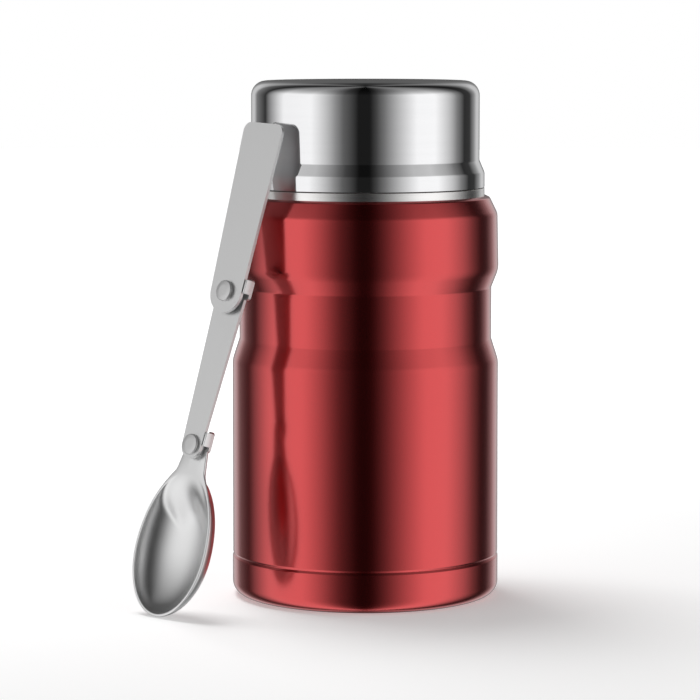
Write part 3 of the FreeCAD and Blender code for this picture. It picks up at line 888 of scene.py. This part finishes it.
@dataclass
class FoldingSpoon:
    """The three-piece folding spoon, drawn flat about its lower pivot. Sizes in millimetres."""

    strip: float = 1.2
    play: float = 0.05
    washer: float = 1.5
    edge_bevel: float = 0.28
    link_lower_radius: float = 4.9
    link_upper_radius: float = 7.3
    handle_length: float = 61.1
    handle_pivot_radius: float = 7.8
    handle_top_width: float = 19.6
    handle_corner: float = 3.2
    neck_end_radius: float = 5.3
    neck_root_radius: float = 8.6
    neck_length: float = 17.0
    bowl_tip: float = 61.9
    bowl_length: float = 53.0
    bowl_half_width: float = 18.0
    bowl_depth: float = 11.0
    bowl_wall: float = 1.1
    bowl_widest: float = 24.0
    neck_blend: float = 5.0
    neck_thickening: float = 0.08
    gentle_from: float = 0.7
    rise_from: float = 0.4
    rim_round: float = 0.3
    rim_angles: tuple[float, ...] = (0.0, 30.0, 60.0, 90.0)
    edge_steps: int = 90
    bowl_steps: int = 16
    plate_merge: float = 1e-5
    bowl_merge: float = 1e-4
    bevel_steps: int = 3
    rivet_radius: float = 2.0
    head_radius: float = 3.7
    head_flank: float = 0.86
    head_bend: float = 0.45
    lower_head_height: float = 1.25
    upper_head_height: float = 1.5
    dome_share: float = 0.55
    dome_bend: float = 3.0
    back_head_radius: float = 3.4
    back_head_height: float = 1.1
    back_head_bend: float = 0.5
    rivet_segments: int = 96
    hole_segments: int = 48
    drill_depth: float = 30.0
    stop_gap: float = 0.5
    stop_wall: float = 0.9
    stop_low: float = 0.5
    stop_high: float = 6.0
    stop_corner: float = 1.2
    stop_drop: float = 0.3
    stop_over: float = 0.1
    stop_skin: float = 0.02
    link_length: float = field(init=False)
    handle_rest: float = field(init=False)
    stand: Matrix = field(init=False)

    def __post_init__(self) -> None:
        """Finds how the spoon leans from the axes and pivots of its two folds."""
        folds = {joint["name"]: joint for joint in frame["joints"]}
        lower = Vector(folds["spoon_bowl_fold"]["pos_m"])
        upper = Vector(folds["spoon_handle_fold"]["pos_m"])
        front = Vector(folds["spoon_handle_fold"]["axis"]).normalized()
        climb = upper - lower
        climb -= front * climb.dot(front)
        self.link_length = climb.length / MM
        self.handle_rest = -math.radians(folds["spoon_handle_fold"]["range_deg"][0])
        along = climb.normalized()
        right = along.cross(front)
        turn = Matrix((right, along, front)).transposed().to_4x4()
        self.stand = Matrix.Translation(lower) @ turn @ Matrix.Scale(MM, 4)

    @property
    def bowl_middle(self) -> float:
        """Height along the spoon of the bowl's widest place."""
        return self.bowl_widest - self.bowl_tip

    @property
    def bowl_centre(self) -> Vector:
        """Place in the plan of the bowl's widest and deepest point."""
        return Vector((0.0, self.bowl_middle))

    @property
    def link_back(self) -> float:
        """Height of the link's back face above the back of the neck."""
        return self.strip + self.play + self.washer

    @property
    def link_front(self) -> float:
        """Height of the link's front face."""
        return self.link_back + self.strip

    @property
    def handle_back(self) -> float:
        """Height of the handle's back face."""
        return self.link_front + self.washer + self.play

    @property
    def handle_front(self) -> float:
        """Height of the handle's front face."""
        return self.handle_back + self.strip

    def wrapped_edge(self, circles: Sequence[Circle]) -> list[Point]:
        """Points of an edge that wraps a counter-clockwise run of circles.

        Args:
            circles: The circles, in order.

        Returns:
            The closed edge's points.
        """
        normals = []
        for index, one in enumerate(circles):
            other = circles[(index + 1) % len(circles)]
            length = math.hypot(other.x - one.x, other.y - one.y)
            ux = (other.x - one.x) / length
            uy = (other.y - one.y) / length
            sine = (one.radius - other.radius) / length
            cosine = math.sqrt(1.0 - sine * sine)
            normals.append(math.atan2(uy * sine - ux * cosine, ux * sine + uy * cosine))
        points = []
        for index, circle in enumerate(circles):
            sweep = (normals[index] - normals[index - 1]) % (2.0 * math.pi)
            steps = max(LEAST_WRAP_STEPS, math.ceil(sweep / ARC_STEP))
            for step in range(steps + 1):
                angle = normals[index - 1] + sweep * step / steps
                x = circle.x + circle.radius * math.cos(angle)
                y = circle.y + circle.radius * math.sin(angle)
                points.append((x, y))
        return points

    def plate(self, work: bmesh.types.BMesh, edge: Sequence[Point], bottom: float, thickness: float) -> None:
        """Adds a plate with softened edges.

        Args:
            work: The bmesh to add to.
            edge: The plate's outline.
            bottom: Height of its back face.
            thickness: The plate's thickness.
        """
        low = [work.verts.new((x, y, bottom)) for x, y in edge]
        high = [work.verts.new((x, y, bottom + thickness)) for x, y in edge]
        faces = [work.faces.new(low[::-1]), work.faces.new(high)]
        for index in range(len(edge)):
            after = (index + 1) % len(edge)
            work.faces.new((low[index], low[after], high[after], high[index]))
        rims = [ring for face in faces for ring in face.edges]
        bmesh.ops.bevel(
            work, geom=rims, offset=self.edge_bevel, segments=self.bevel_steps, profile=0.5,
            affect="EDGES", clamp_overlap=True,
        )

    def add_stop(
        self, obj: bpy.types.Object, edge: float, y: float, bottom: float, reach: float, height: float
    ) -> None:
        """Joins to a piece the ear beside a pivot and the lug bent up from it.

        Args:
            obj: The flat piece.
            edge: Radius of the strip end that the lug stops.
            y: Height of the pivot along the spoon.
            bottom: Back face of the strip that the ear belongs to.
            reach: How far the ear reaches back into the strip.
            height: The lug's height above that back face.
        """
        inner = edge + self.stop_gap
        outer = inner + self.stop_wall
        corner = self.stop_corner
        skin = self.stop_skin
        work = bmesh.new()
        self.plate(work, self.wrapped_edge([
            Circle(outer - corner, y - self.stop_drop, corner),
            Circle(outer - corner, y + self.stop_high - corner, corner),
            Circle(outer - reach, y + corner, corner),
        ]), bottom + skin, self.strip - 2.0 * skin)
        self.cut(obj, work, "UNION")
        work = bmesh.new()
        low = y + self.stop_low
        high = y + self.stop_high - corner / 2.0
        side = outer - skin
        lug_edge = [(inner, low), (side, low), (side, high), (inner, high)]
        self.plate(work, lug_edge, bottom + 2.0 * skin, height - 2.0 * skin)
        self.cut(obj, work, "UNION")

    def stand_up(self, obj: bpy.types.Object) -> bpy.types.Object:
        """Leans a flat piece as the spoon leans, in metres.

        Args:
            obj: The flat piece, in millimetres.

        Returns:
            The same object.
        """
        work = bmesh.new()
        work.from_mesh(obj.data)
        bmesh.ops.transform(work, matrix=self.stand, verts=work.verts)
        obj.data = finish_mesh(obj.name, work)
        return obj

    def cut(self, obj: bpy.types.Object, tool: bmesh.types.BMesh, operation: str) -> None:
        """Cuts a flat piece with a tool, or joins the tool to it.

        Args:
            obj: The piece.
            tool: The tool's mesh, which is freed.
            operation: The Boolean modifier's operation.
        """
        cutter = add_object("tool", finish_mesh("tool", tool, self.plate_merge))
        modifier = obj.modifiers.new("tool", "BOOLEAN")
        modifier.operation = operation
        modifier.solver = "EXACT"
        modifier.object = cutter
        settle(obj)
        bpy.data.objects.remove(cutter)

    def drill(self, obj: bpy.types.Object, y: float, radius: float) -> None:
        """Cuts a rivet hole through a flat piece.

        Args:
            obj: The piece.
            y: The hole's height along the spoon.
            radius: The hole's radius.
        """
        work = bmesh.new()
        bmesh.ops.create_cone(
            work, cap_ends=True, segments=self.hole_segments, radius1=radius, radius2=radius,
            depth=self.drill_depth, matrix=Matrix.Translation((0.0, y, 0.0)),
        )
        self.cut(obj, work, "DIFFERENCE")

    def egg_share(self, x: float, y: float, inset: float) -> float:
        """How far out a point of the plan lies in the bowl's egg shape, which has 1 at its edge.

        Args:
            x: Place across the spoon.
            y: Place along the spoon.
            inset: How much the egg is drawn in all round.

        Returns:
            The share, 0 at the egg's middle.
        """
        beyond = y - self.bowl_middle
        reach = self.bowl_widest if beyond < 0.0 else self.bowl_length - self.bowl_widest
        return math.hypot(x / (self.bowl_half_width - inset), beyond / (reach - inset))

    def half_width(self, y: float) -> float:
        """Half width of the bowl and neck at a height along the spoon.

        Args:
            y: The height, negative towards the tip.

        Returns:
            The half width.
        """
        if y >= 0.0:
            return math.sqrt(max(0.0, self.neck_end_radius ** 2 - y * y))
        share = self.egg_share(0.0, y, 0.0)
        egg = self.bowl_half_width * math.sqrt(max(0.0, 1.0 - share * share))
        if y < -self.neck_length - self.neck_blend:
            return egg
        neck = self.neck_end_radius + (self.neck_root_radius - self.neck_end_radius) * -y / self.neck_length
        span = max(self.neck_blend - abs(egg - neck), 0.0) / self.neck_blend
        return max(egg, neck) + span * span * self.neck_blend / 4.0

    def bowl_edge(self) -> list[Vector]:
        """Plan outline of the bowl and neck, counter-clockwise from the tip.

        Returns:
            The outline's points.
        """
        long = self.bowl_tip + self.neck_end_radius
        right = []
        for index in range(1, self.edge_steps):
            y = -self.bowl_tip + long * (0.5 - 0.5 * math.cos(math.pi * index / self.edge_steps))
            right.append(Vector((self.half_width(y), y)))
        left = [Vector((-point.x, point.y)) for point in reversed(right)]
        return [Vector((0.0, -self.bowl_tip))] + right + [Vector((0.0, self.neck_end_radius))] + left

    def rim_points(self) -> list[RimPoint]:
        """Points of the plan edge, with the shares, thickness and slope that the rings take from them.

        Returns:
            The points, counter-clockwise from the tip.
        """
        edge = self.bowl_edge()
        points = []
        for index, plan in enumerate(edge):
            along = (edge[(index + 1) % len(edge)] - edge[index - 1]).normalized()
            inside = 1.0 / self.egg_share(plan.x, plan.y, self.bowl_wall)
            outside = 1.0 / self.egg_share(plan.x, plan.y, 0.0)
            neck_share = soft_step((1.0 / outside - 1.0) / self.neck_thickening)
            sheet = self.rim_round + (self.strip - self.rim_round) * neck_share
            uphill = (plan - self.bowl_centre).normalized().y
            gentle = soft_step((uphill - self.gentle_from) / (1.0 - self.gentle_from))
            points.append(RimPoint(plan, Vector((along.y, -along.x)), inside, outside, sheet, gentle))
        return points

    def bowl_point(self, plan: Vector, share: float, height: float, level: float = 1.0) -> Vector:
        """Point on the way from the bowl's middle to its edge.

        Args:
            plan: The point of the edge.
            share: How far out the egg shape lies on that way.
            height: The point's height.
            level: How far out along the egg shape it lies.

        Returns:
            The point.
        """
        place = self.bowl_centre + (plan - self.bowl_centre) * share * level
        return Vector((place.x, place.y, height))

    def hollow_rings(self, points: Sequence[RimPoint], levels: Sequence[float]) -> list[list[Vector]]:
        """Rings of the hollow, which rises gently into the neck.

        Args:
            points: The edge's points.
            levels: How far out each ring lies, in order.

        Returns:
            The rings, from the middle out.
        """
        hollow = self.bowl_depth - self.bowl_wall
        rings = []
        for level in levels:
            deep = hollow * math.sqrt(1.0 - level * level)
            rise = soft_step((level - self.rise_from) / (1.0 - self.rise_from))
            rings.append([
                self.bowl_point(p.plan, p.inside, self.strip - deep * (1.0 - p.gentle * rise), level)
                for p in points
            ])
        return rings

    def rim_rings(self, points: Sequence[RimPoint]) -> list[list[Vector]]:
        """Rings that round the rim: its inner edge, its outer edge and the lower edge of the sheet.

        Args:
            points: The edge's points.

        Returns:
            The rings, from the hollow over the rim to the back.
        """
        quarter = []
        for angle in self.rim_angles:
            turn = math.radians(angle)
            quarter.append((self.rim_round * (1.0 - math.cos(turn)), self.rim_round * (1.0 - math.sin(turn))))
        rings = []
        for drop, aside in reversed(quarter):
            ring = []
            for p in points:
                height = self.strip - drop * (1.0 - p.gentle)
                ring.append(self.bowl_point(p.plan, p.inside, height) + (p.outward * aside).to_3d())
            rings.append(ring)
        for drop, aside in quarter:
            lift = Vector((0.0, 0.0, self.strip - drop))
            rings.append([(p.plan - p.outward * aside).to_3d() + lift for p in points])
        for drop, aside in reversed(quarter):
            ring = []
            for p in points:
                share = (p.sheet - self.rim_round) / (self.strip - self.rim_round)
                height = self.strip - p.sheet + drop * share
                ring.append((p.plan - p.outward * aside * share).to_3d() + Vector((0.0, 0.0, height)))
            rings.append(ring)
        return rings

    def back_rings(self, points: Sequence[RimPoint], levels: Sequence[float]) -> list[list[Vector]]:
        """Rings of the back, no thinner than the sheet.

        Args:
            points: The edge's points.
            levels: How far out each ring lies, in the hollow's order.

        Returns:
            The rings, from the rim in to the middle.
        """
        rings = []
        for level in reversed(levels):
            deep = self.bowl_depth * math.sqrt(1.0 - level * level)
            rings.append([
                self.bowl_point(p.plan, p.outside, self.strip - max(deep, p.sheet), level) for p in points
            ])
        return rings

    def bowl_mesh(self) -> bpy.types.Object:
        """Lofts the bowl and neck in rings, from the hollow's middle over the rim to the back's middle.

        Returns:
            The bowl, leaning in its place.
        """
        points = self.rim_points()
        count = len(points)
        levels = [math.sin(math.pi / 2.0 * step / self.bowl_steps) for step in range(1, self.bowl_steps)]
        rings = self.hollow_rings(points, levels) + self.rim_rings(points) + self.back_rings(points, levels)
        work = bmesh.new()
        middle = self.bowl_centre
        top = work.verts.new((middle.x, middle.y, self.strip - (self.bowl_depth - self.bowl_wall)))
        grid = [[work.verts.new(point) for point in ring] for ring in rings]
        back = work.verts.new((middle.x, middle.y, self.strip - self.bowl_depth))
        for index in range(count):
            after = (index + 1) % count
            work.faces.new((top, grid[0][index], grid[0][after]))
            work.faces.new((back, grid[-1][after], grid[-1][index]))
            for low, high in zip(grid, grid[1:]):
                work.faces.new((low[index], high[index], high[after], low[after]))
        obj = add_object("pressed_bowl", finish_mesh("pressed_bowl", work, self.bowl_merge))
        lug = self.link_front + self.stop_over
        self.add_stop(obj, self.link_lower_radius, 0.0, 0.0, self.neck_end_radius, lug)
        self.drill(obj, 0.0, self.rivet_radius + self.play)
        return self.stand_up(obj)

    def link_mesh(self) -> bpy.types.Object:
        """Makes the link with the stop of its upper pivot.

        Returns:
            The link, leaning in its place.
        """
        work = bmesh.new()
        edge = self.wrapped_edge([
            Circle(0.0, 0.0, self.link_lower_radius),
            Circle(0.0, self.link_length, self.link_upper_radius),
        ])
        self.plate(work, edge, self.link_back, self.strip)
        link = add_object("folding_link", finish_mesh("folding_link", work, self.plate_merge))
        lug = self.handle_front + self.stop_over - self.link_back
        self.add_stop(
            link, self.handle_pivot_radius, self.link_length, self.link_back, self.link_upper_radius, lug
        )
        return self.stand_up(link)

    def handle_mesh(self) -> bpy.types.Object:
        """Makes the handle, turned to its rest angle.

        Returns:
            The handle, leaning in its place.
        """
        work = bmesh.new()
        corner_x = self.handle_top_width / 2.0 - self.handle_corner
        corner_y = self.link_length + self.handle_length - self.handle_corner
        edge = self.wrapped_edge([
            Circle(0.0, self.link_length, self.handle_pivot_radius),
            Circle(corner_x, corner_y, self.handle_corner),
            Circle(-corner_x, corner_y, self.handle_corner),
        ])
        self.plate(work, edge, self.handle_back, self.strip)
        handle = add_object("flat_handle", finish_mesh("flat_handle", work, self.plate_merge))
        self.drill(handle, self.link_length, self.rivet_radius + self.play)
        pivot = Matrix.Translation((0.0, self.link_length, 0.0))
        handle.data.transform(pivot @ Matrix.Rotation(self.handle_rest, 4, "Z") @ pivot.inverted())
        return self.stand_up(handle)

    def rivet_mesh(self, name: str, y: float, back: float, front: float, head: float) -> bpy.types.Object:
        """Turns a rivet with a low domed head and a flat back head.

        Args:
            name: The rivet's name.
            y: Its height along the spoon.
            back: Seat of the back head.
            front: Seat of the front head.
            head: Height of the front head.

        Returns:
            The rivet, leaning in its place.
        """
        mesh = turned_mesh(name, [
            Corner(0.0, back - self.back_head_height),
            Corner(self.back_head_radius, back - self.back_head_height, self.back_head_bend),
            Corner(self.back_head_radius, back),
            Corner(self.rivet_radius, back),
            Corner(self.rivet_radius, front),
            Corner(self.head_radius, front),
            Corner(self.head_radius, front + head * self.head_flank, self.head_bend),
            Corner(self.head_radius * self.dome_share, front + head, self.dome_bend),
            Corner(0.0, front + head),
        ], self.rivet_segments)
        mesh.transform(Matrix.Scale(1.0 / MM, 4))
        mesh.transform(self.stand @ Matrix.Translation((0.0, y, 0.0)))
        return add_object(name, mesh)

    def build(self) -> None:
        """Makes the spoon's pieces."""
        place_piece(self.bowl_mesh(), BOWL_STEEL, Body.SPOON_BOWL, ["spoon_bowl"])
        place_piece(self.link_mesh(), SPOON_STEEL, Body.SPOON_LINK, ["spoon_link"])
        place_piece(self.handle_mesh(), SPOON_STEEL, Body.SPOON_HANDLE, ["spoon_handle"])
        lower = self.rivet_mesh("lower_rivet", 0.0, -self.play, self.link_front, self.lower_head_height)
        place_piece(lower, RIVET_STEEL, Body.SPOON_LINK, ["rivet_lower"])
        seat = self.handle_front + self.play
        upper = self.rivet_mesh("upper_rivet", self.link_length, self.link_back, seat, self.upper_head_height)
        place_piece(upper, RIVET_STEEL, Body.SPOON_LINK, ["rivet_upper"])
        dress_nodes({"washer_lower": RIVET_STEEL, "washer_upper": RIVET_STEEL})


@dataclass
class Studio:
    """Pale floor, wrap-round softboxes as the world's light, a key lamp and the camera. In metres.

    The panels are bearings round the jar in degrees and the light level there, and the overhead
    stops are how steeply a direction rises and the level there.
    """

    camera_distance: float = 1.17628
    camera_height: float = 0.21026
    camera_tilt: float = math.radians(5.8682)
    camera_yaw: float = math.radians(0.272)
    focal_pixels: float = 3236.4
    frame_pixels: float = 700.0
    sensor_width: float = 36.0
    view_reach: float = 50.0
    floor_size: float = 8.0
    floor_drop: float = 0.0002
    floor_tone: float = 0.8
    floor_roughness: float = 0.9
    floor_specular: float = 0.1
    floor_lift: float = 0.35
    fade_start: float = 0.2
    fade_end: float = 0.7
    key_power: float = 6.0
    key_size: float = 0.45
    key_place: tuple[float, float, float] = (-0.22, 0.26, 0.85)
    key_aim: tuple[float, float, float] = (0.0, 0.0, 0.05)
    panels: tuple[tuple[float, float], ...] = (
        (-180.0, 0.10), (-168.0, 0.25), (-160.0, 0.60), (-150.0, 0.60), (-141.0, 0.20), (-120.0, 0.03),
        (-104.0, 0.50), (-90.0, 1.0), (-56.0, 1.05), (-47.0, 0.81), (-38.0, 0.55), (-30.0, 0.30),
        (-22.0, 0.125), (-13.0, 0.055), (-7.0, 0.012), (5.0, 0.012), (11.0, 0.06), (19.0, 0.185),
        (27.0, 0.37), (35.0, 0.58), (44.0, 0.82), (53.0, 1.06), (74.0, 1.08),
        (93.0, 0.60), (105.0, 0.23), (118.0, 0.03), (130.0, 0.04), (142.0, 0.30), (150.0, 0.60),
        (160.0, 0.60), (168.0, 0.25), (180.0, 0.10),
    )
    overhead: tuple[tuple[float, float], ...] = ((0.30, 1.0), (0.50, 0.62), (0.72, 0.36), (1.0, 0.16))

    def world(self) -> None:
        """Lights the object by a world whose level changes with the direction round the jar."""
        world = bpy.data.worlds.new("softboxes")
        bpy.context.scene.world = world
        world.use_nodes = True
        tree = world.node_tree
        tree.nodes.clear()
        kit = NodeKit(tree)
        way = kit.add("ShaderNodeTexCoord").outputs["Generated"]
        parts = kit.add("ShaderNodeSeparateXYZ")
        kit.join(way, parts.inputs[0])
        bearing = kit.math("ARCTAN2", parts.outputs["X"], kit.math("MULTIPLY", parts.outputs["Y"], -1.0))
        factor = kit.math("MULTIPLY_ADD", bearing, 0.5 / math.pi)
        factor.node.inputs[2].default_value = 0.5
        level = kit.ramp(factor, [((angle + 180.0) / 360.0, grey(value)) for angle, value in self.panels])
        above = kit.ramp(parts.outputs["Z"], [(height, grey(value)) for height, value in self.overhead])
        seen = kit.add("ShaderNodeLightPath").outputs["Is Camera Ray"]
        white = kit.math("MAXIMUM", kit.math("MULTIPLY", level, above), seen)
        glow = kit.add("ShaderNodeBackground")
        kit.join(white, glow.inputs["Color"])
        kit.join(glow.outputs["Background"], kit.add("ShaderNodeOutputWorld").inputs["Surface"])

    def floor(self) -> None:
        """Lays the pale floor, which shows white and keeps the object's shadow."""
        half = self.floor_size / 2.0
        mesh = bpy.data.meshes.new("pale_floor")
        corners = [(-half, -half, 0.0), (half, -half, 0.0), (half, half, 0.0), (-half, half, 0.0)]
        mesh.from_pydata(corners, [], [(0, 1, 2, 3)])
        obj = add_object("pale_floor", mesh)
        obj.location.z = -self.floor_drop
        material = bpy.data.materials.new("pale_floor")
        material.use_nodes = True
        tree = material.node_tree
        kit = NodeKit(tree)
        shader = tree.nodes["Principled BSDF"]
        shader.inputs["Base Color"].default_value = grey(self.floor_tone)
        shader.inputs["Roughness"].default_value = self.floor_roughness
        shader.inputs["Specular IOR Level"].default_value = self.floor_specular
        rays = kit.add("ShaderNodeLightPath").outputs
        seen = kit.math("MAXIMUM", rays["Is Camera Ray"], rays["Is Transmission Ray"])
        place = kit.add("ShaderNodeTexCoord").outputs["Object"]
        far = kit.add("ShaderNodeVectorMath", operation="LENGTH")
        kit.join(place, far.inputs[0])
        fade = kit.add("ShaderNodeMapRange", interpolation_type="SMOOTHSTEP")
        fade.inputs["From Min"].default_value = self.fade_start
        fade.inputs["From Max"].default_value = self.fade_end
        fade.inputs["To Min"].default_value = self.floor_lift
        fade.inputs["To Max"].default_value = 1.0
        kit.join(far.outputs["Value"], fade.inputs["Value"])
        kit.join(kit.math("MULTIPLY", seen, fade.outputs["Result"]), shader.inputs["Emission Strength"])
        shader.inputs["Emission Color"].default_value = grey(1.0)
        clear = kit.add("ShaderNodeBsdfTransparent")
        mix = kit.add("ShaderNodeMixShader")
        kit.join(rays["Is Glossy Ray"], mix.inputs[0])
        kit.join(shader.outputs["BSDF"], mix.inputs[1])
        kit.join(clear.outputs["BSDF"], mix.inputs[2])
        kit.join(mix.outputs["Shader"], tree.nodes["Material Output"].inputs["Surface"])
        mesh.materials.append(material)

    def lamp(self) -> None:
        """Hangs the key lamp high on the left, which throws the soft shadow to the right."""
        data = bpy.data.lights.new("key", "AREA")
        data.energy = self.key_power
        data.size = self.key_size
        obj = bpy.data.objects.new("key", data)
        obj.location = self.key_place
        obj.rotation_euler = (Vector(self.key_aim) - obj.location).to_track_quat("-Z", "Y").to_euler()
        obj.visible_glossy = False
        bpy.context.scene.collection.objects.link(obj)

    def camera(self) -> None:
        """Sets the camera in front, a little above the jar's top."""
        data = bpy.data.cameras.new("front_view")
        data.sensor_width = self.sensor_width
        data.lens = self.focal_pixels / self.frame_pixels * data.sensor_width
        data.clip_end = self.view_reach
        obj = bpy.data.objects.new("front_view", data)
        obj.location = (0.0, -self.camera_distance, self.camera_height)
        obj.rotation_euler = (math.pi / 2.0 - self.camera_tilt, 0.0, self.camera_yaw)
        bpy.context.scene.collection.objects.link(obj)
        bpy.context.scene.camera = obj

    def build(self) -> None:
        """Sets up the whole studio."""
        self.world()
        self.floor()
        self.lamp()
        self.camera()
        bpy.context.scene.view_settings.view_transform = "Standard"


def main() -> None:
    """Builds the jar, its lids, the spoon and the studio."""
    logging.basicConfig(level=logging.INFO, format="%(name)s: %(message)s")
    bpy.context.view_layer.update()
    for part in (JarBody(), Stopper(), CupLid(), FoldingSpoon()):
        part.build()
        LOG.info("%s built", type(part).__name__)
    Studio().build()


if __name__ == "__main__":
    main()
